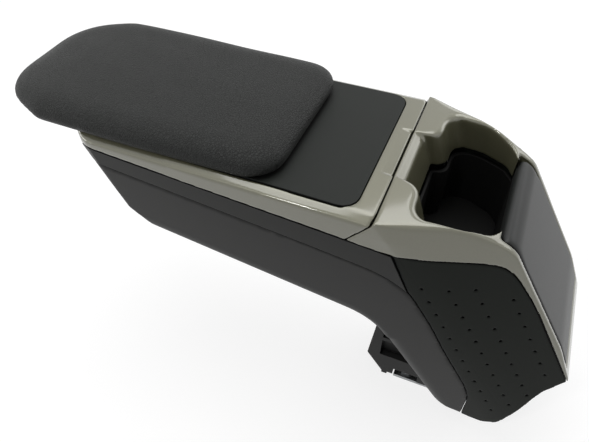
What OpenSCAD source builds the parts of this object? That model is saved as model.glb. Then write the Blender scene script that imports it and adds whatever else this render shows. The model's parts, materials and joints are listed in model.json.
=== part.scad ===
// Centre armrest for a car: a tilting storage arm on an adapter, with a lid and a sliding pad.
// X points from the arm to the leg, Y to the left flank and Z up. The origin is the middle of
// the mounting face under the base plate. The body itself is drawn from the lid joint on top
// of the deck, and then placed on the tilt pivot.

/* [Arm] */
// Width of the arm at the lid joint
arm_w = 130; // [124:1:136]
// Length of the arm behind the lid joint
arm_l = 204; // [196:1:212]
// Depth of the arm at the heel
arm_h = 106; // [102:1:110]
// Wall of the body mouldings
wall = 3; // [2.5:0.5:3.5]
// Draft of the flanks, in degrees
flank_draft = 5; // [4:0.5:6]
// Shadow gap between fixed mouldings
shadow = 0.5; // [0.4:0.1:0.8]

/* [Leg] */
// Slope of the leg and of the front panel, in degrees
leg_angle = 57; // [55:1:59]
// Depth of the leg's lower end below the deck
leg_drop = 185; // [182:1:188]
// Rounding along the underside
belly_r = 18; // [14:1:20]
// Width of the front panel
panel_w = 78; // [74:1:80]
// Thickness of the front panel
panel_t = 2.5; // [2:0.5:3]
// Diameter of the dimples in the leg covers
dimple_d = 1.8; // [1.4:0.2:2.2]

/* [Lid and pad] */
// Width of the band round the deck insert
rim_w = 7; // [6:0.5:8]
// Thickness of the deck insert
insert_t = 3; // [2.5:0.5:3.5]
// Length of the pad
pad_l = 200; // [192:1:202]
// Width of the pad
pad_w = 118; // [112:1:120]
// Height of the cushion
cushion_t = 13.5; // [12:0.5:16]
// Travel of the pad towards the leg
slide_travel = 52; // [48:1:54]
// Width of a runner's neck
runner_neck = 4; // [3:0.5:5]
// Clearance round the sliding runners
slide_gap = 0.5; // [0.4:0.1:0.7]

/* [Pocket] */
// Depth of the silver pocket walls
pocket_wall_h = 28; // [24:1:30]
// Depth of the pocket below the deck
pocket_h = 70; // [60:1:72]
// Width of the finger channel
channel_w = 46; // [40:1:50]

/* [Adapter] */
// Height of the tilt pivot above the base
pivot_h = 58; // [57:1:60]
// Diameter of the pivot pin
pivot_d = 10; // [9:0.5:11]
// Width of the adapter block
block_w = 54; // [50:1:56]
// Thickness of the steel base plate
base_t = 3; // [2.5:0.5:4]
// Hole spacing of the base plate along the car
bolt_x = 48; // [44:1:50]
// Hole spacing of the base plate across the car
bolt_y = 34; // [32:1:36]
// Diameter of the holes in the base plate
bolt_d = 6.6; // [5.5:0.1:7]

/* [Hidden] */

silver = [0.62, 0.62, 0.56];
dark = [0.27, 0.28, 0.28];
black = [0.07, 0.07, 0.07];
leather = [0.13, 0.13, 0.14];
steel = [0.6, 0.61, 0.63];
nylon = [0.85, 0.84, 0.8];
round_fn = 48;
tall = 200;                    // reach of a cutting block

function unit(v) = v/norm(v);
function flat(p) = [p[0], p[1]];
// An outline of [x, y, radius] corners, each rounded by an arc; a larger radius gets more steps
function rounded(p) = let (m = len(p))
  [for (i = [0 : m - 1]) each corner(flat(p[(i + m - 1)%m]), p[i], flat(p[(i + 1)%m]), arc_steps(p[i][2]))];
function arc_steps(r) = r > 40 ? 9 : r > 12 ? 6 : 4;
function corner(a, b, c, n) = b[2] <= 0 ? [flat(b)] :
  let (q = flat(b), u = unit(a - q), v = unit(c - q), half = acos(u*v)/2,
       centre = q + unit(u + v)*b[2]/sin(half),
       s = q + u*b[2]/tan(half) - centre, e = q + v*b[2]/tan(half) - centre,
       a0 = atan2(s[1], s[0]), d = atan2(e[1], e[0]) - a0,
       turn = d > 180 ? d - 360 : d < -180 ? d + 360 : d)
  [for (i = [0 : n]) centre + b[2]*[cos(a0 + turn*i/n), sin(a0 + turn*i/n)]];

// An outline of the side view, spread evenly to both sides or from y = from
module side_view(points, w = 2*tall, from = undef)
  translate([0, is_undef(from) ? w/2 : from + w, 0]) rotate([90, 0, 0]) linear_extrude(w) polygon(points);
// A hole across the body, along Y
module cross_hole(d, x, z, w = 2*tall, y = 0)
  translate([x, y, z]) rotate([90, 0, 0]) cylinder(d = d, h = w, center = true, $fn = round_fn);
module both_sides() {
  children();
  mirror([0, 1, 0]) children();
}

// Body form: a U section runs along the arm, turns round the heel and runs down the leg
belly_slope = 8;
heel_r = 35;
heel = [4, -arm_h];
heel_half = (leg_angle - belly_slope)/2;
out_belly = [-sin(belly_slope), -cos(belly_slope)];
out_leg = [-sin(leg_angle), -cos(leg_angle)];
heel_c = heel + unit(out_belly + out_leg)*heel_r/cos(heel_half);
arm_start = heel_c - out_belly*heel_r;
leg_start = heel_c - out_leg*heel_r;
leg_draft = atan(tan(flank_draft)*(sin(leg_angle) - tan(belly_slope)*cos(leg_angle)));
front_draft = atan(tan(flank_draft)*(cos(leg_angle) + tan(belly_slope)*sin(leg_angle)));
cheek_lean = 23.3;             // the cheeks run down and forward at this angle
tail_x = -arm_l + 32;

// Half width of the drafted flank at a point of the side view
function flank(p) = arm_w/2 + tan(flank_draft)*(p[1] + tan(belly_slope)*p[0]);
function belly_z(x) = heel[1] - tan(belly_slope)*(x - heel[0]);
tail_low = [tail_x, belly_z(tail_x) - 0.4];
tail_lean = atan((tail_x + arm_l)/(-16 - tail_low[1]));
// U section: distance above the underside and half width
function u_section(hw, e, draft) = let (foot = hw - e + e*tan(draft), head = hw - e + tall*tan(draft))
  rounded([[e, foot, belly_r - e], [tall, head, 0], [tall, -head, 0], [e, -foot, belly_r - e]]);
module arm_run(e) translate([arm_start[0], 0, arm_start[1]]) rotate([0, belly_slope - 90, 0])
  translate([0, 0, -8]) linear_extrude(arm_l + 48) polygon(u_section(flank(arm_start), e, flank_draft));
module heel_turn(e) translate([heel_c[0], 0, heel_c[1]]) rotate([90, 0, 0]) rotate([0, 0, 90 - leg_angle])
  rotate_extrude(angle = 2*heel_half, $fn = 72)
    translate([heel_r, 0]) polygon(u_section(flank(arm_start), e, flank_draft));
module leg_side(e) let (foot = flank(leg_start) - e)
  translate([leg_start[0], 0, leg_start[1]]) rotate([0, leg_angle - 90, 0]) rotate([-leg_draft, 0, 0])
  translate([0, 0, -tall]) linear_extrude(tall + 8)
    polygon(rounded([[e, foot, belly_r - e], [tall, foot + tall*tan(front_draft), 0],
                     [tall, -arm_w, 0], [e, -arm_w, 0]]));
module leg_run(e) intersection() { leg_side(e); mirror([0, 1, 0]) leg_side(e); }
// Seen from above: the cheeks narrow towards the front panel
module cheeks(e) rotate([0, -cheek_lean, 0]) translate([0, 0, -1.5*tall]) linear_extrude(2*tall)
  scale([cos(cheek_lean), 1]) polygon(rounded([
    [-1.5*tall, -arm_w/2 - 1.5 + e, 0], [0, -arm_w/2 - 0.6 + e, 60],
    [64, -panel_w/2 - 4.2 + e, 45], [120, -panel_w/2 - 2 + e, 0],
    [120, panel_w/2 + 2 - e, 0], [64, panel_w/2 + 4.2 - e, 45],
    [0, arm_w/2 + 0.6 - e, 60], [-1.5*tall, arm_w/2 + 1.5 - e, 0]]));
// Rounded tail: seen from above, seen along its leaning end and seen along the turn below it
module tail(e) intersection() {
  translate([0, 0, -tall]) linear_extrude(2*tall) polygon(tail_plan(-arm_l + e, e, 20));
  tail_cut([-arm_l, -16], tail_lean, e - 1.5, e, 25);
  tail_cut(tail_low, (tail_lean + 90 - belly_slope)/2, e + tail_turn, e, 30);
}
module tail_cut(p, lean, x, e, r) translate([p[0], 0, p[1]]) rotate([0, -lean, 0])
  translate([0, 0, -2*tall]) linear_extrude(4*tall) polygon(tail_plan(x, e, r));
tail_turn = 3.5;                 // how far the turn cuts in from the corner of the side view
function tail_plan(x, e, r) = rounded([[x, -arm_w/2 + 3 + e, r - e], [x + 3*tall, -arm_w/2 - 7 + e, 0],
  [x + 3*tall, arm_w/2 + 7 - e, 0], [x, arm_w/2 - 3 - e, r - e]]);
// Side view of the body; top is the height of its upper edge and sole that of the leg's end
function front_line(e) = let (f = [e*sin(leg_angle), e*cos(leg_angle)])
  [[48 - 0.4*e, -e, 50], [76 - 0.8*e, -15 - e, 20], [122 - f[0], -86 - f[1], 80]];
function body_outline(e, top) = rounded(concat(
  [[-arm_l + e, top, 0], [-arm_l + e, -16, 20], [tail_low[0] + e, tail_low[1] + e, 78 - e],
   [-20, belly_z(-20) - 0.4 + e, 0], [-20, -leg_drop + 2, 0], [54, -leg_drop + 1, 0],
    [98, -leg_drop - 2, 10],
   [108, -leg_drop + 5, 12], [115, -162, 30], [126, -131, 30], [134.8 - e, -112.8, 2 - min(e, 1)]],
  [for (i = [2 : -1 : 0]) front_line(e)[i]]));
// Hollow of the body, open at the deck and at the leg's end
function core_outline(e) = rounded(concat(
  [[-arm_l + e, 30, 0], [-arm_l + e, -16, 20], [tail_low[0] + e, tail_low[1] + e, 78 - e],
   [-20, belly_z(-20) - 0.4 + e, 0], [-20, -tall - 40, 0], [170 - e, -tall - 40, 0], [170 - e, -163.5, 0]],
  [for (i = [2 : -1 : 0]) front_line(e)[i]], [[0, -e, 0], [0, 30, 0]]));
module flanks(e) let (rise = tan(flank_draft)/cos(belly_slope),
                      low = arm_w/2 - e - 300*rise, high = arm_w/2 - e + 100*rise)
  rotate([0, belly_slope, 0]) rotate([90, 0, 90]) translate([0, 0, -1.5*tall]) linear_extrude(3*tall)
    polygon([[-low, -300], [low, -300], [high, 100], [-high, 100]]);
module body_blank(e) intersection() {
  union() { arm_run(e); heel_turn(e); leg_run(e); }
  flanks(e);
  cheeks(e);
  tail(e);
}
module body_form() intersection() { body_blank(0); side_view(body_outline(0, 0)); }
module body_core(e) intersection() { body_blank(e); side_view(core_outline(e)); }
module body_skin(t = wall) difference() { body_form(); body_core(t); }

// Joint lines of the side view, from the tail to the leg
rear = -arm_l - 36;            // behind the tail, where cutting shapes end
far = 240;                     // ahead of the leg
// A line with its inner corners cut off, twice: the cut line keeps its ends
function eased(p, n = 2) = n == 0 ? p : eased([for (i = [0 : len(p) - 1], f = [0.25, -0.25])
  if (i == 0 ? f < 0 : i == len(p) - 1 ? f > 0 : true)
    i == 0 || i == len(p) - 1 ? p[i] : f > 0 ? p[i] + 0.25*(p[i - 1] - p[i]) : p[i] + 0.25*(p[i + 1] - p[i])], n - 1);
silver_line = eased([[rear, -8], [-arm_l, -8], [-arm_l + 34, -11], [0, -22], [25, -24], [61, -24], [73, -26],
               [81, -32], [89, -42], [96, -51], [110, -74], [134, -114], [150, -141]]);
seam_line = eased([[rear, -17], [-arm_l, -20], [-arm_l + 29, -23], [-60, -34.5], [0, -41], [11, -44],
             [20, -48.5], [27, -54], [31, -60], [44, -81], [57, -107], [71, -131], [78, -144],
             [82, -156], [83, -168], [83, -210]]);
split_line = [[0, 20], [0, 0], [-1, -3], [-15, -21], [-15.3, -260]];
band_joint = [[8, -12], [13, -24], [23, -47], [28, -58], [28, -260]];
function shift(p, d) = [for (q = p) q + d];
function last_z(line) = line[len(line) - 1][1];
module below(line, g = 0)
  side_view(concat(shift(line, [-g/2, -g]), [[far, -260], [rear, -260]]));
module above(line, g = 0)
  side_view(concat(shift(line, [g/2, g]), [[far, last_z(line)], [far, 60], [rear, 60]]));
module behind(line, g = 0)
  side_view(concat(shift(line, [-g, 0]), [[rear - 20, last_z(line)], [rear - 20, line[0][1]]]));
module ahead(line, g = 0)
  side_view(concat(shift(line, [g, 0]), [[far, last_z(line)], [far, line[0][1]]]));

// Tilt pivot
pivot = [74, -150];
pivot_fit = 0.2;
base_x = pivot[0] - 14;        // middle of the base plate
deck_h = pivot_h - pivot[1];   // deck above the base
module placed() translate([-base_x, 0, deck_h]) children();
foot_z = -deck_h;              // base level below the deck

cheek_in = block_w/2 + 3;      // inner face of the hinge frame's cheeks
cheek_t = 3;
bush_d = pivot_d + 4;
cross_z = -118;                // underside of the frame's cross plate
frame_tail = -70;
tub_gap = 1;
tub_t = 2.5;
tub_floor = -74;
tub_front = -8;
lid_gap = 0.6;                 // between the lid and the tub or the fascia
lid_axis = [-arm_l + 4.5, -12.5];
lid_barrel = 8.6;
lid_pin_d = 4;
knuckle_y = 28;                // half width of the tub's knuckle
knuckle_w = 14;                // width of each lid knuckle
ledge = 4;                     // ledge under the insert
ledge_t = 2.5;
insert_gap = 0.4;
insert_front = -12.7;
runner_y = 28;
runner_foot = 12;
pad_lift = 0.6;                // pad base above the deck
pad_base_t = 3;
pad_hem = 6;                   // width of the leather hem round the base
pad_front = -62;
runner_front = pad_front - slide_travel - 5;
runner_l = arm_l - 22 + runner_front; // the slots end 22 mm before the tail
ledge_z = -insert_t - ledge_t; // underside of the lid ledge
bumper_z = -14;                // top of the bosses that carry the lid bumpers
slot_w = block_w + 3;          // opening for the adapter in the back of the leg

// Adapter
module base_plate() color(steel) difference() {
  translate([-33, -block_w/2 + 0.5, 0]) cube([66, block_w - 1, base_t]);
  bolt_places() translate([0, 0, -1]) cylinder(d = bolt_d, h = base_t + 2, $fn = round_fn);
  screw_places() {
    translate([0, 0, -1]) cylinder(d = screw_d + 0.5, h = base_t + 2, $fn = round_fn);
    translate([0, 0, -0.01])
      cylinder(d1 = sink_d + 0.8, d2 = screw_d + 0.5, h = sink_h + 0.1, $fn = round_fn);
  }
}
screw_d = 4;
sink_d = 8;                    // countersunk heads, just inside the mounting face
sink_h = 2.3;
module bolt_places() for (x = [-1, 1], y = [-1, 1]) translate([x*bolt_x/2, y*bolt_y/2, 0]) children();
module screw_places() for (x = [-1, 1]) translate([x*12, 0, 0]) children();
nut_w = 11;
nut_h = 5;
module weld_nuts() color(steel) bolt_places() translate([0, 0, base_t]) difference() {
  cylinder(d = nut_w/cos(30), h = nut_h, $fn = 6);
  translate([0, 0, -1]) cylinder(d = bolt_d - 1.6, h = nut_h + 2, $fn = round_fn);
}
block_top = deck_h + cross_z - 8;
block_side = [[-57, 23, 4], [-43, base_t, 0], [-43, 0.3, 0], [-38.5, 0.3, 0], [-38.5, base_t, 0],
              [37, base_t, 3], [37, 45, 8], [28, pivot_h + 15, 14], [0, pivot_h + 15, 14],
              [-14, block_top, 4], [-52, block_top, 6]];
module adapter_block() color(dark) difference() {
  side_view(rounded(block_side), block_w);
  cross_hole(pivot_d + pivot_fit, pivot[0] - base_x, pivot_h);
  // side recesses with a rib between them
  both_sides() translate([0, block_w/2 + 0.1, 0]) for (z = [[26, 20], [50, 24]])
    translate([-47, -6, z[0]]) cube([28, 10, z[1]]);
  bolt_places() translate([-10, -10, base_t - 0.1]) cube([20, 20, nut_h + 3]);
  screw_places() translate([0, 0, -1]) cylinder(d = screw_d - 0.6, h = 24, $fn = round_fn);
}
module block_screws() color(steel) screw_places() {
  translate([0, 0, 0.2]) cylinder(d1 = sink_d, d2 = screw_d - 0.6, h = sink_h, $fn = round_fn);
  translate([0, 0, 0.3]) cylinder(d = screw_d - 0.6, h = 20, $fn = round_fn);
}
buffer_h = 7.7;
module stop_buffer() color(black) translate([-32, 0, block_top])
  cylinder(d = 16, h = buffer_h, $fn = round_fn);
pin_l = 2*(cheek_in + cheek_t + 6);
module pivot_pin() color(steel) translate([pivot[0] - base_x, 0, pivot_h]) rotate([90, 0, 0])
  cylinder(d = pivot_d, h = pin_l, center = true, $fn = round_fn);
clip_y = cheek_in + cheek_t + 2;
module pivot_clips() color(steel) both_sides() translate([pivot[0] - base_x, clip_y + 1.2, pivot_h])
  rotate([90, 0, 0]) difference() {
    cylinder(d = pivot_d + 6, h = 1.2, $fn = round_fn);
    translate([0, 0, -1]) cylinder(d = pivot_d, h = 4, $fn = round_fn);
  }

// Hinge frame: two cheeks on the pivot, a cross plate that rests on the buffer and two feet
// along the inside of the arm's underside
cheek_side = [[frame_tail, belly_z(frame_tail) + wall + 0.3, 0], [4, belly_z(4) + wall + 0.3, 0],
              [30, -125, 0], [58, -162, 14], [88, -162, 14], [88, -120, 20], [50, -92, 10],
              [frame_tail, belly_z(frame_tail) + 15, 0]];
module hinge_frame() color(steel) placed() difference() {
  union() {
    both_sides() side_view(rounded(cheek_side), cheek_t, cheek_in);
    translate([16.5, -cheek_in - 1, cross_z]) cube([28.5, 2*cheek_in + 2, 3]);
    both_sides() frame_foot();
  }
  cross_hole(bush_d, pivot[0], pivot[1]);
  foot_places() translate([0, 0, -8]) cylinder(d = screw_d, h = 20, $fn = round_fn);
}
module on_belly(x, y = 0) translate([x, y, belly_z(x) + wall + 0.3]) rotate([0, belly_slope, 0]) children();
module frame_foot() on_belly(frame_tail) translate([0, cheek_in - 12, 0]) cube([70, 13, 3]);
module foot_places() both_sides() for (x = [-60, -15]) on_belly(x, cheek_in - 6) children();
module frame_screws() color(steel) placed() foot_places() {
  translate([0, 0, -5.5]) cylinder(d = 7.5, h = 2.2, $fn = round_fn);
  translate([0, 0, -4]) cylinder(d = screw_d, h = 9, $fn = round_fn);
}
module pivot_bushes() color(nylon) both_sides()
  translate([pivot[0] - base_x, cheek_in + cheek_t + 0.2, pivot_h]) rotate([90, 0, 0]) difference() {
    union() {
      cylinder(d = bush_d, h = cheek_t + 1.2, $fn = round_fn);
      translate([0, 0, cheek_t + 0.2]) cylinder(d = bush_d + 6, h = 2, $fn = round_fn);
    }
    translate([0, 0, -1]) cylinder(d = pivot_d + pivot_fit, h = 20, $fn = round_fn);
  }

// Arm
module lower_shell() color(dark) placed() difference() {
  intersection() {
    body_skin();
    below(seam_line, shadow/2);
  }
  translate([-12, -slot_w/2, -tall]) cube([100, slot_w, tall + cross_z + 6]);
  foot_places() translate([0, 0, -12]) cylinder(d = screw_d + 0.5, h = 16, $fn = round_fn);
  foot_places() translate([0, 0, -12]) cylinder(d = 8.5, h = 8.2, $fn = round_fn);
  shell_places() translate([0, 0, -12]) cylinder(d = screw_d, h = 20, $fn = round_fn);
}
module shell_places() both_sides() for (x = [-arm_l + 74, -95]) on_belly(x, 30) children();
module shell_screws() color(steel) placed() shell_places() {
  translate([0, 0, -5.5]) cylinder(d = 7.5, h = 2.2, $fn = round_fn);
  translate([0, 0, -4]) cylinder(d = screw_d - 0.6, h = 9, $fn = round_fn);
}
module tub_blank(t) difference() { body_core(wall + tub_gap); body_core(wall + tub_gap + t); }
module storage_tub() color(dark) placed() difference() {
  union() {
    intersection() {
      body_skin();
      below(silver_line, lid_gap/2);
      above(seam_line, shadow/2);
      behind(band_joint, shadow/2);
    }
    intersection() {
      difference() { body_form(); body_core(wall + tub_gap + tub_t); }
      below(silver_line, lid_gap/2);
      above(shift(silver_line, [0, -3]));
      behind([[4, 60], [4, -200]]);
    }
    intersection() {
      union() {
        tub_blank(tub_t);
        intersection() {
          body_core(wall + tub_gap);
          union() {
            translate([rear, -tall, tub_floor]) cube([tub_front - rear, 2*tall, tub_t]);
            translate([tub_front - tub_t, -tall, tub_floor]) cube([tub_t, 2*tall, bumper_z - tub_floor]);
          }
        }
      }
      translate([rear, -tall, tub_floor]) cube([tub_front - rear, 2*tall, 80]);
      below(silver_line, lid_gap/2);
    }
    intersection() {
      shell_places() translate([0, 0, 0.3]) cylinder(d = 9, h = 30, $fn = round_fn);
      translate([rear, -tall, -tall]) cube([-rear, 2*tall, tall + tub_floor + 1]);
    }
    bumper_places() translate([0, 0, bumper_z - 10]) cylinder(d = 9, h = 10, $fn = round_fn);
    translate([lid_axis[0], 0, lid_axis[1]]) rotate([90, 0, 0])
      cylinder(d = lid_barrel, h = 2*knuckle_y, center = true, $fn = round_fn);
    translate([-arm_l + 0.4, -knuckle_y, -20]) cube([7, 2*knuckle_y, 7.5]);
  }
  // clearance for the lid's knuckles and rear edge
  both_sides() translate([-arm_l - 5, knuckle_y + 0.3, -18]) cube([14.5, 60, 20]);
  difference() {
    translate([-arm_l - 5, -knuckle_y - 1, lid_axis[1] - 4]) cube([9.5, 2*knuckle_y + 2, 24]);
    cross_pin(lid_barrel, lid_axis, 2*knuckle_y);
  }
  cross_hole(lid_pin_d, lid_axis[0], lid_axis[1]);
  shell_places() translate([0, 0, -2]) cylinder(d = screw_d - 0.6, h = 8, $fn = round_fn);
}
module tub_mat() color(black) placed() translate([0, 0, tub_floor + tub_t]) linear_extrude(1.5)
  polygon(rounded([[-arm_l + 54, -arm_w/2 + 25, 26], [tub_front - tub_t - 1, -arm_w/2 + 23, 3],
    [tub_front - tub_t - 1, arm_w/2 - 23, 3], [-arm_l + 54, arm_w/2 - 25, 26]]));
module lid_pin() color(steel) placed() cross_pin(lid_pin_d, lid_axis, 2*(knuckle_y + knuckle_w));
module cross_pin(d, p, l) cross_hole(d, p[0], p[1], l);

// Leg covers with dimples in slanted columns
dimple_columns = [[33, -47, 12], [48, -46, 11], [62, -44, 10], [84, -50, 7]];
dimple_step = [6.1, -10.6];
cover_in = panel_w/2 - 6;       // where the covers end at the opening in the back
module leg_cover(s) color(dark) placed() difference() {
  intersection() {
    body_skin();
    below(silver_line, shadow/2);
    ahead(band_joint, shadow/2);
    above(seam_line, shadow/2);
    side_view([[0, 0], [160, 0], [160, -220], [0, -220]], arm_w/2, s > 0 ? cover_in : -cover_in - arm_w/2);
  }
  for (c = dimple_columns, i = [0 : c[2] - 1])
    cross_hole(dimple_d, c[0] + dimple_step[0]*i, c[1] + dimple_step[1]*i, 40, s*56);
}
module right_leg_cover() leg_cover(-1);
module left_leg_cover() leg_cover(1);

// Fascia: top and cheeks in one moulding with the pocket walls
panel_gap = 0.4;
panel_x = 66;                  // back of the flange that turns down into the pocket
pillar_lean = 17.8;            // the rear corners of the pocket run down and forward
foot = -pocket_wall_h;         // lower edge of the silver pocket walls
foot_shift = pocket_wall_h*tan(pillar_lean);
// Pocket from above, with the finger channel between two rounded corners
pocket_y = arm_w/2 - 14;       // half width of the pocket at its rear edge
function pocket_front(g) = [[44, 2.5 - pocket_y + g, 20], [60, -panel_w/2 - 2 + g, 12],
  [panel_x - g, 7 - panel_w/2 + g, 8], [panel_x - g, panel_w/2 - 7 - g, 8],
  [60, panel_w/2 + 2 - g, 12], [44, pocket_y - 2.5 - g, 20]];
function pocket_plan(g) = rounded(concat([[g, g - pocket_y, 0]], pocket_front(g), [[g, pocket_y - g, 0]]));
function channel_plan() = rounded([[-60, -channel_w/2, 0], [17, -channel_w/2, 10],
  [17, -pocket_y, 12], [tall, -pocket_y, 0], [tall, pocket_y, 0], [17, pocket_y, 12],
  [17, channel_w/2, 10], [-60, channel_w/2, 0]]);
// The floor of the channel rolls over below the lid's front edge and drops to the pocket
function scoop(g) = [[1 - g, 20, 0], [1 - g, -0.8 - g, 0], [6.5 - g, -3 - g, 6],
                     [17 - g, foot - 0.1 - g, 0],
                     [panel_x + 20, foot - 0.1 - g, 0], [panel_x + 20, 20, 0]];
module pocket_walls(g, low, high) translate([0, 0, low]) linear_extrude(high - low) polygon(pocket_plan(g));
module pocket_void() intersection() {
  rotate([0, -pillar_lean, 0]) translate([0, 0, -tall]) linear_extrude(2*tall)
    scale([cos(pillar_lean), 1]) polygon(channel_plan());
  pocket_walls(0, foot - 0.1, 20);
  side_view(rounded(scoop(0)));
}
function surface_z(x) = -15/28*(x - 48);
module fascia() color(silver) placed() difference() {
  intersection() {
    body_form();
    above(silver_line, shadow/2);
    ahead(split_line, lid_gap/2);
    union() {
      body_skin();
      difference() {
        body_skin(wall + ledge_t);
        side_view([[-20, 20], [panel_x, 20], [panel_x, -tall], [-20, -tall]]);
      }
      difference() {
        pocket_walls(-2.5, foot, 20);
        side_view([[-4, -5], [2, -5.5], [13, foot - 0.2], [13, -40], [-4, -40]]);
      }
    }
  }
  pocket_void();
  // seat and window of the front panel
  difference() { panel_side(panel_w, panel_gap); body_core(wall); }
  intersection() {
    panel_side(panel_w, panel_gap);
    translate([60, -tall, -40]) cube([panel_t + 6 + panel_gap, 2*tall, 60]);
  }
  side_view([[70, foot], [96, foot], [136, -98], [100, -98], [70, -60]], panel_w - 12);
}
module panel_side(w, g) side_view([[panel_x - g, 20], [180, 20], [180, -105 - g], [124, -105 - g],
  [90, -60], [panel_x - g, foot]], w);
module front_panel() color(dark) placed() intersection() {
  union() {
    body_skin(panel_t);
    intersection() { body_form(); translate([panel_x, -tall, foot]) cube([panel_t, 2*tall, 60]); }
  }
  panel_side(panel_w - 2*panel_gap, 0);
  // rounded upper edge
  side_view(rounded([[panel_x, -tall, 0], [panel_x, surface_z(panel_x), 4],
    [panel_x + 14, surface_z(panel_x) - 6.8, 0], [tall, -6, 0], [tall, -tall, 0]]));
}
foot_x = 17 + foot_shift;
function foot_plan(g) = rounded(concat([[17 + g, -channel_w/2 + g, 2],
  [foot_x + g, -channel_w/2 + g, 8], [foot_x + g, 0.5 - pocket_y + g, 10]], pocket_front(g),
  [[foot_x + g, pocket_y - 0.5 - g, 10], [foot_x + g, channel_w/2 - g, 8], [17 + g, channel_w/2 - g, 2]]));
module pocket_liner() color(black) placed() difference() {
  translate([0, 0, -pocket_h]) linear_extrude(pocket_h + foot - 0.3) polygon(foot_plan(-2));
  translate([0, 0, -pocket_h + 2]) linear_extrude(pocket_h) polygon(foot_plan(-0.2));
}

// Lid
module lid_blank() intersection() {
  body_form();
  above(silver_line, lid_gap/2);
  behind(split_line, lid_gap/2);
}
insert_rear = -arm_l + rim_w + 5;
function insert_plan(g) = rounded([[insert_rear + g, -arm_w/2 + rim_w + 3 + g, 10],
  [insert_front - g, -arm_w/2 + rim_w + g, 10], [insert_front - g, arm_w/2 - rim_w - g, 10],
  [insert_rear + g, arm_w/2 - rim_w - 3 - g, 10]]);
module insert_block(g, low, high) translate([0, 0, low]) linear_extrude(high - low) polygon(insert_plan(g));
module lid_frame() color(silver) placed() difference() {
  union() {
    intersection() {
      difference() { lid_blank(); body_core(wall); }
      side_view([[rear, 10], [20, 10], [20, -60], [-arm_l + 9, -60], [-arm_l + 9, -7.5], [rear, -7.5]]);
    }
    intersection() {
      lid_blank();
      translate([rear, -tall, ledge_z]) cube([-rear, 2*tall, -ledge_z + 1]);
    }
    both_sides() {
      translate([lid_axis[0], knuckle_y + 0.6 + knuckle_w, lid_axis[1]]) rotate([90, 0, 0])
        cylinder(d = lid_barrel, h = knuckle_w, $fn = round_fn);
      translate([-arm_l + 0.3, knuckle_y + 0.6, lid_axis[1]]) cube([8, knuckle_w, 8]);
    }
  }
  insert_block(-insert_gap, -insert_t, 5);
  insert_block(ledge, -40, 5);
  // bevel along both edges of the deck
  both_sides() translate([0, arm_w/2 - 1, -3]) rotate([0, 0, 1.2]) rotate([0, 0, 180]) rotate([27, 0, 0])
    mirror([0, 1, 0]) translate([-20, -20, 0]) cube([arm_l + 56, 40, 20]);
  // finger dip in the front edge, over the channel
  side_view([[-8, 0.2], [-8, 0], [5, -2.4], [5, 0.2]], channel_w);
  cross_hole(lid_pin_d + 0.2, lid_axis[0], lid_axis[1]);
}
module lid_insert() color(dark) placed() difference() {
  insert_block(0, -insert_t, 0);
  both_sides()
    translate([runner_front - runner_l - slide_gap, runner_y - runner_neck/2 - slide_gap, -insert_t - 1])
    cube([runner_l + slide_travel + 2*slide_gap, runner_neck + 2*slide_gap, insert_t + 2]);
}
// Tray under the ledge; its rim closes against the ledge
module lid_liner() color(dark) placed() difference() {
  intersection() {
    body_core(wall + 0.4);
    translate([-arm_l + 14, -tall, ledge_z - 2.5]) cube([arm_l - 32, 2*tall, 2.5]);
  }
  insert_block(ledge + 1, ledge_z - 0.8, 5);
}
module bumper_places() both_sides() translate([-12.5, 36, 0]) children();
module lid_bumpers() color(black) placed() bumper_places() translate([0, 0, bumper_z + 0.1])
  cylinder(d = 7, h = ledge_z - bumper_z - 0.1, $fn = round_fn);

// Pad
function pad_plan(g) = rounded([
  [pad_front - pad_l + g, -pad_w/2 + 3 + g, 40 - g], [pad_front - g, -pad_w/2 + g, 26 - g],
  [pad_front - g, pad_w/2 - g, 26 - g], [pad_front - pad_l + g, pad_w/2 - 3 - g, 40 - g]]);
module pad_base() color(black) placed() {
  translate([0, 0, pad_lift]) linear_extrude(pad_base_t) polygon(pad_plan(pad_hem));
  both_sides() translate([runner_front - runner_l, runner_y, -insert_t - slide_gap - 2]) {
    translate([0, -runner_neck/2, 0]) cube([runner_l, runner_neck, insert_t + slide_gap + 3 + pad_lift]);
    translate([0, -runner_foot/2, 0]) cube([runner_l, runner_foot, 2]);
  }
}
cushion_z = pad_lift + 0.5;
// Cross-section of the cushion: a low crown between rounded shoulders
function crown(a, b) = let (mid = cushion_z + 0.55*cushion_t, top = cushion_z + cushion_t)
  rounded([[a, cushion_z, 2.5], [b, cushion_z, 2.5], [b - 1, mid, 6], [b - 12, top - 1.5, 14],
           [(a + b)/2, top, 0], [a + 12, top - 1.5, 14], [a + 1, mid, 6]]);
module pad_cushion() color(leather) placed() difference() {
  intersection() {
    linear_extrude(cushion_z + cushion_t + 1) polygon(pad_plan(0));
    rotate([90, 0, 90]) translate([0, 0, pad_front - pad_l - 10]) linear_extrude(pad_l + 20)
      polygon(crown(-pad_w/2, pad_w/2));
    side_view(crown(pad_front - pad_l, pad_front));
  }
  linear_extrude(pad_lift + pad_base_t) polygon(pad_plan(pad_hem - 0.3));
}

base_plate();
weld_nuts();
adapter_block();
stop_buffer();
block_screws();
pivot_pin();
pivot_clips();
hinge_frame();
pivot_bushes();
frame_screws();
lower_shell();
storage_tub();
tub_mat();
right_leg_cover();
left_leg_cover();
fascia();
front_panel();
pocket_liner();
shell_screws();
lid_pin();
lid_frame();
lid_insert();
lid_liner();
lid_bumpers();
pad_base();
pad_cushion();
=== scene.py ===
"""Looks of a car centre armrest: satin silver mouldings, dark grained shells and a leather pad."""

import json
import math

import bmesh
import bpy
import numpy as np
from mathutils import Euler, Matrix, Vector
from mathutils.kdtree import KDTree

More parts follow.
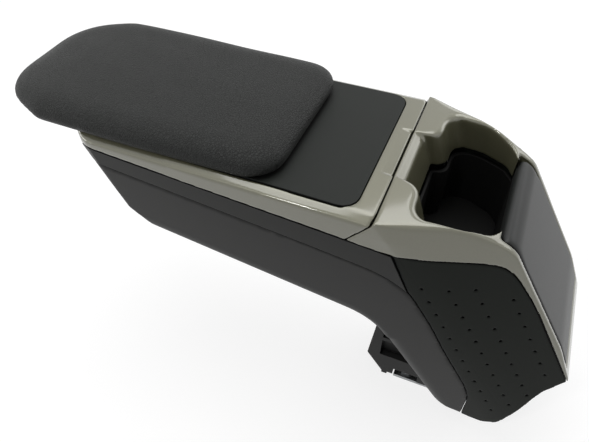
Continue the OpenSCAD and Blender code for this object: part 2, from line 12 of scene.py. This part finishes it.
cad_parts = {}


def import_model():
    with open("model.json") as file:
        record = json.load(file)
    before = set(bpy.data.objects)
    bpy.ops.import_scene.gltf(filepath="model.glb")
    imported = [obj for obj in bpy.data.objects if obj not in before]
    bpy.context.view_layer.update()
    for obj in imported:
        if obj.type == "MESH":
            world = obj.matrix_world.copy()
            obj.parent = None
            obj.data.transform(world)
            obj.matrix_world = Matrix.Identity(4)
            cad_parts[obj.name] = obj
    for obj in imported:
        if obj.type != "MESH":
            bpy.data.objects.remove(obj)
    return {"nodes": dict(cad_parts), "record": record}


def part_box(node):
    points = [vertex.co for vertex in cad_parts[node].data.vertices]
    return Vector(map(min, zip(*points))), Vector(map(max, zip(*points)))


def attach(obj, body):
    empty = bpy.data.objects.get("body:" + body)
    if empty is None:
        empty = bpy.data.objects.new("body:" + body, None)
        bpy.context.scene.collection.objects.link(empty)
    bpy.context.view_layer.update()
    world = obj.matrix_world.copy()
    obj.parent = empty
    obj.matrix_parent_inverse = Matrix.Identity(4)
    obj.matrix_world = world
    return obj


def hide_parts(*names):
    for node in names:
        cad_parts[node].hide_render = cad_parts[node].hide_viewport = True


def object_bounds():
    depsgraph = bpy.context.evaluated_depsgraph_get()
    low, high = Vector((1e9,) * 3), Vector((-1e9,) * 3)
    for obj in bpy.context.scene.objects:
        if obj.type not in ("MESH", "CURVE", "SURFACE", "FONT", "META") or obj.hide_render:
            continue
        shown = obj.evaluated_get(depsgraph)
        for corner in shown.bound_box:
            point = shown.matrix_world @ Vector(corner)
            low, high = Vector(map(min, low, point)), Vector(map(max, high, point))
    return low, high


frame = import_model()
cad_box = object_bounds()
MM = 0.001


# Shader helpers

def add(tree, kind, values=None, **settings):
    """A new node with its settings, and its input sockets set by name or number."""
    node = tree.nodes.new(kind)
    for key, value in settings.items():
        setattr(node, key, value)
    for key, value in (values or {}).items():
        node.inputs[key].default_value = value
    return node


def material(name):
    """A new material: its tree, its shader and the piece's own coordinates."""
    mat = bpy.data.materials.new(name)
    mat.use_nodes = True
    tree = mat.node_tree
    coords = add(tree, "ShaderNodeTexCoord")
    return mat, tree, tree.nodes["Principled BSDF"], coords.outputs["Object"]


def noise(tree, coords, size, detail=3.0, roughness=0.55, distortion=0.0):
    """Noise whose features are about size metres across."""
    node = add(tree, "ShaderNodeTexNoise", {"Scale": 1 / size, "Detail": detail, "Roughness": roughness,
                                            "Distortion": distortion})
    tree.links.new(coords, node.inputs["Vector"])
    return node.outputs["Fac"]


def spread(tree, value, low, high):
    """Maps the middle of a noise to the range from low to high."""
    node = add(tree, "ShaderNodeMapRange", {"From Min": 0.3, "From Max": 0.7, "To Min": low, "To Max": high})
    tree.links.new(value, node.inputs["Value"])
    return node.outputs["Result"]


def blend(tree, factor, first, second):
    """A colour between first and second."""
    node = add(tree, "ShaderNodeMix", data_type="RGBA")
    for socket, colour in ((node.inputs[6], first), (node.inputs[7], second)):
        if isinstance(colour, tuple):
            socket.default_value = (*colour, 1)
        else:
            tree.links.new(colour, socket)
    tree.links.new(factor, node.inputs[0])
    return node.outputs[2]


def soft_edges(tree, radius):
    """Normals that round the edges by a small radius."""
    node = add(tree, "ShaderNodeBevel", {"Radius": radius}, samples=6)
    return node.outputs["Normal"]


def bump(tree, height, depth, normal=None, strength=1.0):
    node = add(tree, "ShaderNodeBump", {"Distance": depth, "Strength": strength})
    tree.links.new(height, node.inputs["Height"])
    if normal is not None:
        tree.links.new(normal, node.inputs["Normal"])
    return node.outputs["Normal"]


def shade(colour, factor):
    return tuple(c * factor for c in colour)


def painted_crevice_shade(tree, colour, reach, shut=0.25, clear=0.8):
    """The colour with painted shade: darkened by ambient occlusion inside joints and crevices narrower than
    about reach.
    """
    near = add(tree, "ShaderNodeAmbientOcclusion", {"Distance": reach}, samples=8)
    level = add(tree, "ShaderNodeMapRange", {"From Min": shut, "From Max": clear, "To Min": 0.04, "To Max": 1.0})
    tree.links.new(near.outputs["AO"], level.inputs["Value"])
    return blend(tree, level.outputs["Result"], (0.002, 0.002, 0.002), colour)


# Materials

def moulded_plastic(name, colour, roughness, grain, depth, mottle=0.06, edge=0.5 * MM, gloss=0.5, coat=0.0):
    """Spark-eroded plastic: a fine grain, faint mottling, softly rounded edges and painted shade in its joints.
    """
    mat, tree, shader, coords = material(name)
    fine = noise(tree, coords, grain, detail=4)
    broad = noise(tree, coords, 35 * MM, detail=2)
    base = blend(tree, spread(tree, broad, 0, 1), shade(colour, 1 - mottle), shade(colour, 1 + mottle))
    speck = spread(tree, fine, 0, 1)
    # painted shade: ambient occlusion darkens the colour inside joints and crevices narrower than 3 mm
    tree.links.new(painted_crevice_shade(tree, blend(tree, speck, shade(colour, 0.74), base), 3 * MM, 0.6, 0.95),
                   shader.inputs["Base Color"])
    tree.links.new(spread(tree, fine, roughness - 0.05, roughness + 0.07), shader.inputs["Roughness"])
    tree.links.new(bump(tree, fine, depth, soft_edges(tree, edge)), shader.inputs["Normal"])
    shader.inputs["Specular IOR Level"].default_value = gloss
    if coat:
        shader.inputs["Coat Weight"].default_value = coat
        shader.inputs["Coat Roughness"].default_value = 0.25
    return mat


def satin_silver(name):
    """Champagne silver paint on plastic: fine flakes under a satin lacquer, with painted shade in its joints."""
    mat, tree, shader, coords = material(name)
    flakes = noise(tree, coords, 0.25 * MM, detail=2)
    broad = noise(tree, coords, 60 * MM, detail=2)
    light, dark = (0.134, 0.131, 0.081), (0.109, 0.106, 0.066)
    base = blend(tree, spread(tree, flakes, 0, 1), dark, light)
    # painted shade: ambient occlusion darkens the colour inside joints and crevices narrower than 1.6 mm
    tree.links.new(painted_crevice_shade(tree, base, 1.6 * MM), shader.inputs["Base Color"])
    tree.links.new(spread(tree, broad, 0.3, 0.38), shader.inputs["Roughness"])
    tree.links.new(bump(tree, flakes, 0.01 * MM, soft_edges(tree, 0.7 * MM)), shader.inputs["Normal"])
    shader.inputs["Metallic"].default_value = 0.3
    shader.inputs["Coat Weight"].default_value = 0.9
    shader.inputs["Coat Roughness"].default_value = 0.07
    shader.inputs["Coat IOR"].default_value = 1.7
    return mat


def leather(name):
    """Fine pebbled leather: small cells with dark creases, and faint broad changes of tone."""
    mat, tree, shader, coords = material(name)
    warp = add(tree, "ShaderNodeTexNoise", {"Scale": 1 / (3 * MM), "Detail": 2.0})
    tree.links.new(coords, warp.inputs["Vector"])
    shift = add(tree, "ShaderNodeVectorMath", operation="SCALE")
    shift.inputs["Scale"].default_value = 0.8 * MM
    tree.links.new(warp.outputs["Color"], shift.inputs[0])
    moved = add(tree, "ShaderNodeVectorMath", operation="ADD")
    tree.links.new(coords, moved.inputs[0])
    tree.links.new(shift.outputs[0], moved.inputs[1])
    cells = add(tree, "ShaderNodeTexVoronoi", {"Scale": 1 / (1.6 * MM)}, feature="DISTANCE_TO_EDGE")
    tree.links.new(moved.outputs[0], cells.inputs["Vector"])
    crease = add(tree, "ShaderNodeMapRange", {"From Min": 0.0, "From Max": 0.2}, interpolation_type="SMOOTHSTEP")
    tree.links.new(cells.outputs["Distance"], crease.inputs["Value"])
    pebble = crease.outputs["Result"]
    broad = noise(tree, coords, 25 * MM, detail=3)
    skin = blend(tree, spread(tree, broad, 0, 1), (0.0122, 0.0137, 0.0125), (0.0172, 0.0189, 0.0175))
    tree.links.new(blend(tree, pebble, (0.003, 0.0034, 0.003), skin), shader.inputs["Base Color"])
    tree.links.new(spread(tree, broad, 0.44, 0.54), shader.inputs["Roughness"])
    fine = noise(tree, coords, 0.3 * MM)
    tree.links.new(bump(tree, pebble, 0.25 * MM, bump(tree, fine, 0.04 * MM)), shader.inputs["Normal"])
    shader.inputs["Specular IOR Level"].default_value = 0.2
    shader.inputs["Sheen Weight"].default_value = 0.03
    return mat


def zinc_steel(name):
    """Zinc-plated steel with faint rolling marks."""
    mat, tree, shader, coords = material(name)
    stretch = add(tree, "ShaderNodeMapping")
    stretch.inputs["Scale"].default_value = (0.12, 1, 1)
    tree.links.new(coords, stretch.inputs["Vector"])
    marks = noise(tree, stretch.outputs["Vector"], 0.6 * MM)
    tree.links.new(blend(tree, spread(tree, marks, 0, 1), (0.27, 0.28, 0.285), (0.36, 0.368, 0.374)),
                   shader.inputs["Base Color"])
    tree.links.new(spread(tree, marks, 0.28, 0.42), shader.inputs["Roughness"])
    tree.links.new(bump(tree, marks, 0.01 * MM, soft_edges(tree, 0.3 * MM)), shader.inputs["Normal"])
    shader.inputs["Metallic"].default_value = 1.0
    return mat


SILVER = satin_silver("satin_silver")
SHELL = moulded_plastic("shell_grain", (0.037, 0.037, 0.036), 0.5, 0.55 * MM, 0.035 * MM, gloss=0.2)
BAND = moulded_plastic("band_grain", (0.0185, 0.0188, 0.0175), 0.46, 0.55 * MM, 0.03 * MM, gloss=0.2)
COVER = moulded_plastic("cover_grain", (0.0105, 0.0126, 0.0102), 0.55, 0.5 * MM, 0.03 * MM, gloss=0.12)
PANEL = moulded_plastic("panel_satin", (0.0215, 0.023, 0.0224), 0.38, 0.35 * MM, 0.012 * MM, edge=1.2 * MM,
                        gloss=0.25)
INSERT = moulded_plastic("insert_grain", (0.0118, 0.014, 0.012), 0.55, 0.6 * MM, 0.06 * MM, gloss=0.18)
LINER = moulded_plastic("liner_black", (0.006, 0.006, 0.0057), 0.55, 0.6 * MM, 0.03 * MM, gloss=0.15)
ADAPTER = moulded_plastic("adapter_grain", (0.0225, 0.0225, 0.022), 0.5, 0.6 * MM, 0.04 * MM, gloss=0.2)
RUBBER = moulded_plastic("rubber", (0.02, 0.02, 0.02), 0.75, 0.7 * MM, 0.03 * MM, gloss=0.3)
NYLON = moulded_plastic("nylon", (0.62, 0.6, 0.54), 0.5, 0.8 * MM, 0.01 * MM)
STEEL = zinc_steel("zinc_steel")
LEATHER = leather("black_leather")

FINISH = {
    SILVER: ["fascia", "lid_frame"],
    SHELL: ["lower_shell"],
    BAND: ["storage_tub"],
    COVER: ["right_leg_cover", "left_leg_cover"],
    PANEL: ["front_panel"],
    INSERT: ["lid_insert"],
    LINER: ["pocket_liner", "lid_liner", "pad_base"],
    ADAPTER: ["adapter_block"],
    RUBBER: ["stop_buffer", "tub_mat", "lid_bumpers"],
    NYLON: ["pivot_bushes"],
    STEEL: ["base_plate", "weld_nuts", "block_screws", "pivot_pin", "pivot_clips", "hinge_frame",
            "frame_screws", "shell_screws", "lid_pin"],
    LEATHER: ["pad_cushion"],
}
BODY_OF = {node: body for body, nodes in frame["record"]["behaviour"]["bodies"].items() for node in nodes}
for finish, nodes in FINISH.items():
    for node in nodes:
        slots = frame["nodes"][node].data.materials
        slots.clear()
        slots.append(finish)


# Mouldings: the frame's own forms with their edges rounded

def apply_modifiers(obj):
    graph = bpy.context.evaluated_depsgraph_get()
    mesh = bpy.data.meshes.new_from_object(obj.evaluated_get(graph))
    obj.modifiers.clear()
    obj.data = mesh
    return obj


def copy_of(node, name):
    """A welded copy of a node's mesh as a new object."""
    obj = bpy.data.objects.new(name, frame["nodes"][node].data.copy())
    bpy.context.scene.collection.objects.link(obj)
    work = bmesh.new()
    work.from_mesh(obj.data)
    bmesh.ops.remove_doubles(work, verts=work.verts, dist=0.01 * MM)
    work.to_mesh(obj.data)
    work.free()
    return obj


def edge_points(node, chosen):
    """Points a millimetre apart along the node's sharp edges that chosen(up, side, middle) picks."""
    work = bmesh.new()
    work.from_mesh(frame["nodes"][node].data)
    bmesh.ops.remove_doubles(work, verts=work.verts, dist=0.01 * MM)
    points = []
    for edge in work.edges:
        if len(edge.link_faces) != 2 or edge.calc_face_angle(0) < 0.4:
            continue
        up, side = sorted((face.normal for face in edge.link_faces), key=lambda n: -n.z)
        first, last = (vert.co for vert in edge.verts)
        if chosen(up, side, (first + last) / 2):
            count = max(1, int((last - first).length / MM))
            points += [first.lerp(last, (i + 0.5) / count) for i in range(count)]
    work.free()
    return points


def soft_weights(obj, points, reach, fade):
    """A vertex group that falls from 1 at the points to 0 at reach, times fade(place)."""
    tree = KDTree(len(points))
    for number, point in enumerate(points):
        tree.insert(point, number)
    tree.balance()
    group = obj.vertex_groups.new(name="soft")
    for vert in obj.data.vertices:
        near = 1 - tree.find(vert.co)[2] / reach
        if near > 0:
            weight = near * near * (3 - 2 * near) * fade(vert.co)
            if weight > 0.01:
                group.add([vert.index], weight, "REPLACE")
    return group.name


def soften(obj, points, reach, rounds, fade=lambda place: 1.0):
    """Rolls the edges at the points over broadly, as in a moulding with generous radii."""
    smooth = obj.modifiers.new("soften", "SMOOTH")
    smooth.vertex_group = soft_weights(obj, points, reach, fade)
    smooth.factor = 0.5
    smooth.iterations = rounds
    apply_modifiers(obj)
    obj.vertex_groups.clear()


def drop_scraps(obj):
    """Keeps only the largest connected part: the remesh leaves a sliver where a wall runs out thin."""
    work = bmesh.new()
    work.from_mesh(obj.data)
    left, parts = set(work.verts), []
    while left:
        front = [left.pop()]
        part = list(front)
        while front:
            for edge in front.pop().link_edges:
                for vert in edge.verts:
                    if vert in left:
                        left.remove(vert)
                        front.append(vert)
                        part.append(vert)
        parts.append(part)
    scraps = [vert for part in sorted(parts, key=len)[:-1] for vert in part]
    bmesh.ops.delete(work, geom=scraps, context="VERTS")
    work.to_mesh(obj.data)
    work.free()


def rounded_copy(node, voxel, rounds, finish):
    """The node remeshed in small cells and smoothed, so that its edges and facets are rounded off."""
    obj = copy_of(node, node + "_moulding")
    remesh = obj.modifiers.new("cells", "REMESH")
    remesh.mode = "VOXEL"
    remesh.voxel_size = voxel
    remesh.use_smooth_shade = True
    smooth = obj.modifiers.new("smooth", "SMOOTH")
    smooth.factor = 0.5
    smooth.iterations = rounds
    apply_modifiers(obj)
    drop_scraps(obj)
    obj.data.materials.clear()
    obj.data.materials.append(finish)
    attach(obj, BODY_OF[node])
    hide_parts(node)
    return obj


def ramp(value, low, high):
    return min(1.0, max(0.0, (value - low) / (high - low)))


def ease_flank(obj, fade=lambda place: 1.0):
    """Turns the straight crease down each flank of the leg into a curve 36 mm wide."""
    reach, angle = 18 * MM, math.radians(23.9)
    radius = reach / math.tan(angle / 2)
    for side in (-1, 1):
        first, last = Vector((0.0525, side * 0.0516, 0.0395)), Vector((-0.0201, side * 0.0604, 0.1499))
        inward = Vector((-0.16, -0.985 * side, -0.025)).normalized()
        across = (last - first).cross(inward).normalized()
        for vert in obj.data.vertices:
            offset = vert.co - first
            away = abs(offset.dot(across))
            if away < reach and abs(offset.dot(inward)) < 14 * MM:
                vert.co += inward * (fade(vert.co) * (reach - away) ** 2 / (2 * radius))


def drill_dimples(obj, side):
    """Cuts the cover's dimples again at their places, because the remesh blurs them."""
    work = bmesh.new()
    for x, z, count in ((33, -47, 12), (48, -46, 11), (62, -44, 10), (84, -50, 7)):
        for step in range(count):
            centre = Vector((x - 60 + 6.1 * step, side * 56, z + 208 - 10.6 * step)) * MM
            turned = Matrix.Translation(centre) @ Matrix.Rotation(math.pi / 2, 4, "X")
            bmesh.ops.create_cone(work, cap_ends=True, segments=14, radius1=0.9 * MM, radius2=0.9 * MM,
                                  depth=40 * MM, matrix=turned)
    mesh = bpy.data.meshes.new("drills")
    work.to_mesh(mesh)
    work.free()
    drills = bpy.data.objects.new("drills", mesh)
    bpy.context.scene.collection.objects.link(drills)
    cut = obj.modifiers.new("dimples", "BOOLEAN")
    cut.operation = "DIFFERENCE"
    cut.object = drills
    apply_modifiers(obj)
    bpy.data.objects.remove(drills)
    work = bmesh.new()
    work.from_mesh(obj.data)
    bmesh.ops.triangulate(work, faces=work.faces)
    work.to_mesh(obj.data)
    work.free()


fascia = rounded_copy("fascia", 0.75 * MM, 5, SILVER)
rim = edge_points("fascia", lambda up, side, mid: up.z > 0.6 and side.z < 0.6 and side.x > -0.8
                  and -56 * MM < mid.x < 4 * MM)
soften(fascia, rim, 11 * MM, 80,
       lambda place: ramp(place.x, -56 * MM, -42 * MM) * ramp(place.x, 6 * MM, -4 * MM))
ease_flank(fascia, lambda place: ramp(place.z, 196 * MM, 170 * MM))
for cover in ("right_leg_cover", "left_leg_cover"):
    moulded = rounded_copy(cover, 0.7 * MM, 2, COVER)
    ease_flank(moulded)
    drill_dimples(moulded, -1 if cover.startswith("right") else 1)
lid = rounded_copy("lid_frame", 0.75 * MM, 4, SILVER)
crease = edge_points("lid_frame", lambda up, side, mid: 0.75 < up.z < 0.97 and side.z < 0.6)
soften(lid, crease, 3.5 * MM, 14)
shell = rounded_copy("lower_shell", 1.3 * MM, 4, SHELL)
groove = edge_points("lower_shell", lambda up, side, mid: up.z > 0.6 and abs(side.y) > 0.8)
soften(shell, groove, 3 * MM, 8)
panel = rounded_copy("front_panel", 0.9 * MM, 5, PANEL)
fold = edge_points("front_panel", lambda up, side, mid: mid.x < 22 * MM and mid.z > 190 * MM)
soften(panel, fold, 12 * MM, 60, lambda place: ramp(place.z, 178 * MM, 184 * MM))


# Pad: foam under leather, swollen by a cloth simulation

def outline(low, high, inset):
    """The pad seen from above, inset, with its sides slightly bowed and rounder corners at the rear."""
    middle, half = (low[0] + high[0]) / 2, (high[0] - low[0]) / 2
    points = [(middle + step * half / 5, side * (high[1] + (1.6 - 0.1 * step * step) * MM - inset))
              for side in (-1, 1) for step in range(-3, 4)]
    corners = ((high[0], high[1], 22 * MM, 0), (low[0], high[1] - 3 * MM, 40 * MM, 90),
               (low[0], low[1] + 3 * MM, 40 * MM, 180), (high[0], low[1], 22 * MM, 270))
    for x, y, radius, turn in corners:
        centre = (x + math.copysign(radius, (low[0] + high[0]) / 2 - x), y - math.copysign(radius, y))
        for step in range(9):
            angle = math.radians(turn + 90 * step / 8)
            points.append((centre[0] + (radius - inset) * math.cos(angle),
                           centre[1] + (radius - inset) * math.sin(angle)))
    return points


def pad_form(low, high):
    """The foam before it swells, drawn deeper than it is so that its lower edge stays full."""
    tall = high[2] - low[2]
    rings = ((-1.5 * MM, 4.8 * MM), (0, 2.6 * MM), (1.8 * MM, 0.9 * MM), (0.3 * tall, 0.2 * MM),
             (0.42 * tall, 0.2 * MM), (0.54 * tall, 0.9 * MM), (0.66 * tall, 2.4 * MM), (0.77 * tall, 5 * MM),
             (0.87 * tall, 9 * MM), (0.95 * tall, 15 * MM))
    work = bmesh.new()
    for height, inset in rings:
        for x, y in outline(low, high, inset):
            work.verts.new((x, y, low[2] + height))
    for x in (low[0] + 50 * MM, high[0] - 50 * MM):
        work.verts.new((x, 0, high[2] - 0.2 * MM))
    bmesh.ops.convex_hull(work, input=work.verts)
    mesh = bpy.data.meshes.new("leather_pad")
    work.to_mesh(mesh)
    work.free()
    obj = bpy.data.objects.new("leather_pad", mesh)
    bpy.context.scene.collection.objects.link(obj)
    return obj


def swollen_pad(finish):
    low, high = (np.array(corner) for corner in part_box("pad_cushion"))
    low[0] -= 4 * MM
    low[2] -= 0.5 * MM
    obj = pad_form(low, high)
    remesh = obj.modifiers.new("cells", "REMESH")
    remesh.mode = "VOXEL"
    remesh.voxel_size = 2.6 * MM
    remesh.use_smooth_shade = True
    relax(obj, 4)
    start = places(obj)
    swell(obj)
    move = evened(obj, places(obj) - start, 40)
    length = np.linalg.norm(move, axis=1, keepdims=True)
    final = start + move * np.minimum(1, 0.9 * MM / np.maximum(length, 1e-9))
    # the leather keeps the outline of the foam and a flat hem round its base
    size, middle = np.ptp(final, axis=0), (final.max(0) + final.min(0)) / 2
    scale = (high - low + np.array((3, 5, 0)) * MM) / size
    final[:, :2] = ((final - middle) * scale + (high + low) / 2)[:, :2]
    bottom = final[:, 2] < low[2] + 0.1 * MM
    final[bottom, 2] = low[2] + 0.1 * MM
    press_recess(final, bottom, low[2] + 3.3 * MM)
    # it hangs a little at its sides and at its rear end
    lower = 1 - (final[:, 2] - low[2]) / (high[2] - low[2])
    beside = np.clip((np.abs(final[:, 1]) - 55 * MM) / (7 * MM), 0, 1)
    behind = np.clip((low[0] + 58 * MM - final[:, 0]) / (58 * MM), 0, 1)
    final[:, 2] -= 1.8 * MM * beside * lower + (3.2 - 2.9 * lower) * MM * behind ** 2
    obj.data.vertices.foreach_set("co", final.ravel())
    obj.data.update()
    subdivide = obj.modifiers.new("subdivide", "SUBSURF")
    subdivide.levels = 1
    subdivide.render_levels = 1
    apply_modifiers(obj)
    for face in obj.data.polygons:
        face.use_smooth = True
    obj.data.materials.clear()
    obj.data.materials.append(finish)
    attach(obj, "pad")
    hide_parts("pad_cushion")
    return obj


def evened(obj, move, rounds):
    """The moves averaged between neighbours, so that the skin stays taut."""
    edges = np.empty(2 * len(obj.data.edges), dtype=np.int64)
    obj.data.edges.foreach_get("vertices", edges)
    first, second = edges.reshape(-1, 2).T
    count = np.maximum(1, np.bincount(edges, minlength=len(move)))[:, None]
    for _ in range(rounds):
        total = np.zeros_like(move)
        np.add.at(total, first, move[second])
        np.add.at(total, second, move[first])
        move = total / count
    return move


def relax(obj, rounds):
    smooth = obj.modifiers.new("smooth", "SMOOTH")
    smooth.factor = 0.5
    smooth.iterations = rounds
    apply_modifiers(obj)


def press_recess(final, bottom, level):
    """Raises the underside inside its hem, where the slide plate sits."""
    sides = final[~bottom & (final[:, 2] < level + 3 * MM)]
    tree = KDTree(len(sides))
    for number, place in enumerate(sides):
        tree.insert((place[0], place[1], 0), number)
    tree.balance()
    for index in np.flatnonzero(bottom):
        if tree.find((final[index, 0], final[index, 1], 0))[2] > 5 * MM:
            final[index, 2] = level


def places(obj):
    flat = np.empty(3 * len(obj.data.vertices))
    obj.data.vertices.foreach_get("co", flat)
    return flat.reshape(-1, 3)


def swell(obj):
    """Twenty steps of pressure with no gravity; the result stays in the mesh."""
    scene = bpy.context.scene
    cloth = obj.modifiers.new("cloth", "CLOTH")
    cloth.settings.use_pressure = True
    cloth.settings.uniform_pressure_force = 4
    cloth.settings.effector_weights.gravity = 0
    cloth.settings.quality = 6
    for step in range(1, 21):
        scene.frame_set(step)
    apply_modifiers(obj)
    scene.frame_set(1)


swollen_pad(LEATHER)


# Floor, light and camera

def seen(tree):
    """1 where the background is looked at, straight, in a reflection or through glass."""
    path = add(tree, "ShaderNodeLightPath")
    total = path.outputs["Is Camera Ray"]
    for name in ("Is Glossy Ray", "Is Transmission Ray"):
        largest = add(tree, "ShaderNodeMath", operation="MAXIMUM")
        tree.links.new(total, largest.inputs[0])
        tree.links.new(path.outputs[name], largest.inputs[1])
        total = largest.outputs[0]
    return total


def floor():
    mesh = bpy.data.meshes.new("floor")
    size = 6.0
    low = cad_box[0][2] - 0.3 * MM
    corners = [(x * size, y * size, low) for x, y in ((-1, -1), (1, -1), (1, 1), (-1, 1))]
    mesh.from_pydata(corners, [], [(0, 1, 2, 3)])
    obj = bpy.data.objects.new("floor", mesh)
    bpy.context.scene.collection.objects.link(obj)
    mat, tree, shader, coords = material("pale_floor")
    shader.inputs["Base Color"].default_value = (0.3, 0.3, 0.3, 1)
    shader.inputs["Roughness"].default_value = 0.9
    shader.inputs["Specular IOR Level"].default_value = 0.1
    glow = add(tree, "ShaderNodeEmission", {"Color": (1, 1, 1, 1), "Strength": 0.78})
    mix = add(tree, "ShaderNodeMixShader")
    both = add(tree, "ShaderNodeAddShader")
    out = tree.nodes["Material Output"]
    tree.links.new(shader.outputs[0], both.inputs[0])
    tree.links.new(glow.outputs[0], both.inputs[1])
    tree.links.new(seen(tree), mix.inputs[0])
    tree.links.new(shader.outputs[0], mix.inputs[1])
    tree.links.new(both.outputs[0], mix.inputs[2])
    tree.links.new(mix.outputs[0], out.inputs["Surface"])
    obj.data.materials.append(mat)


def area_light(name, place, target, size, power, colour=(1, 1, 1)):
    light = bpy.data.lights.new(name, "AREA")
    light.shape = "RECTANGLE"
    light.size, light.size_y = size
    light.energy = power
    light.color = colour
    obj = bpy.data.objects.new(name, light)
    obj.location = place
    obj.rotation_euler = (Vector(target) - Vector(place)).to_track_quat("-Z", "Y").to_euler()
    bpy.context.scene.collection.objects.link(obj)


def world():
    scene = bpy.context.scene
    scene.world = bpy.data.worlds.new("studio")
    scene.world.use_nodes = True
    tree = scene.world.node_tree
    ambient = tree.nodes["Background"]
    ambient.inputs["Color"].default_value = (1, 1, 1, 1)
    ambient.inputs["Strength"].default_value = 0.25
    white = add(tree, "ShaderNodeBackground", {"Color": (1, 1, 1, 1), "Strength": 1.0})
    mix = add(tree, "ShaderNodeMixShader")
    tree.links.new(seen(tree), mix.inputs[0])
    tree.links.new(ambient.outputs[0], mix.inputs[1])
    tree.links.new(white.outputs[0], mix.inputs[2])
    tree.links.new(mix.outputs[0], tree.nodes["World Output"].inputs["Surface"])


def camera():
    """The photograph's view: about 46 degrees down on the right flank, turned 23 degrees from it."""
    data = bpy.data.cameras.new("camera")
    data.sensor_width = 36
    data.lens = 35.02
    obj = bpy.data.objects.new("camera", data)
    obj.location = (-17.59 * MM, -273.52 * MM, 430.04 * MM)
    obj.rotation_euler = Euler((math.radians(90 - 46.39), 0, math.radians(22.7)))
    bpy.context.scene.collection.objects.link(obj)
    bpy.context.scene.camera = obj


floor()
world()
area_light("key", (-0.35, 0.35, 1.5), (-0.08, 0, 0.15), (1.5, 1.1), 14)
area_light("far_strip", (0.5, 1.2, 0.8), (-0.05, 0, 0.18), (1.4, 0.5), 3.5)
area_light("front", (-0.48, -0.85, 1.15), (-0.08, 0, 0.15), (0.12, 0.12), 2.4)
area_light("side", (1.1, -0.3, 0.8), (0, 0, 0.12), (0.8, 0.8), 0.7)
area_light("tail", (-1.2, -0.55, 0.45), (-0.25, -0.05, 0.15), (0.5, 0.4), 2.6)
camera()
bpy.context.scene.view_settings.view_transform = "Standard"
